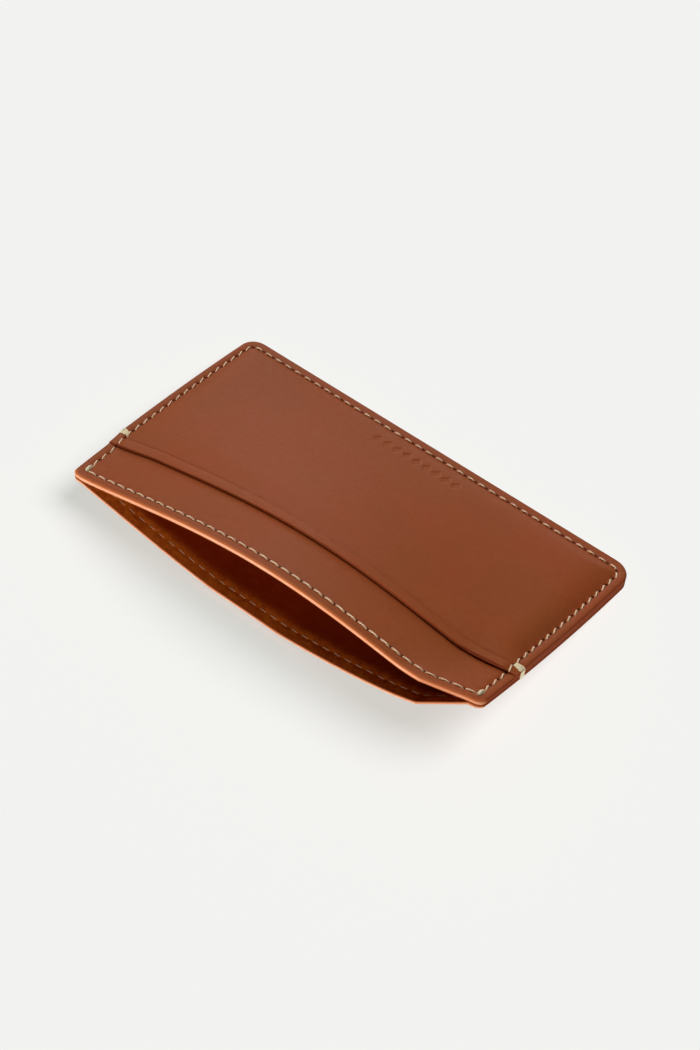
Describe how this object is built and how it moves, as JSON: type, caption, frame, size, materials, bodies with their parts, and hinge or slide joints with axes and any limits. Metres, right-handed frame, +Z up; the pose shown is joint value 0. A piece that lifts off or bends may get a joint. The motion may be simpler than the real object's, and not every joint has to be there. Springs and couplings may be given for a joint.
{
  "type": "card holder",
  "caption": "Slim stitched leather card holder lying open: a long side mouth with one cut-back corner, and a shallower front pocket sewn over it.",
  "frame": {"origin": "middle of the footprint, on the surface that the holder rests on", "axes": "+X along the mouth, +Y from the mouth to the sewn back edge, +Z up out of the pocket panel's face"},
  "size_m": [0.1042, 0.059, 0.02],
  "materials": {
    "tan_leather": "smooth cognac tan leather, semi-matt, with burnished orange cut edges",
    "brown_suede": "brown suede, flesh side, fully matt",
    "cream_thread": "waxed cream sewing thread"
  },
  "bodies": {
    "root": {"back_panel": "tan_leather", "front_panel": "tan_leather", "pocket_panel": "tan_leather", "back_lining": "brown_suede", "front_lining": "brown_suede", "perimeter_needle_thread": "cream_thread", "perimeter_bobbin_thread": "cream_thread", "front_mouth_needle_thread": "cream_thread", "front_mouth_bobbin_thread": "cream_thread", "back_mouth_bobbin_thread": "cream_thread", "back_mouth_needle_thread": "cream_thread", "pocket_tack_left": "cream_thread", "pocket_tack_right": "cream_thread", "mouth_tack_left": "cream_thread", "mouth_tack_right": "cream_thread"}
  },
  "joints": []
}
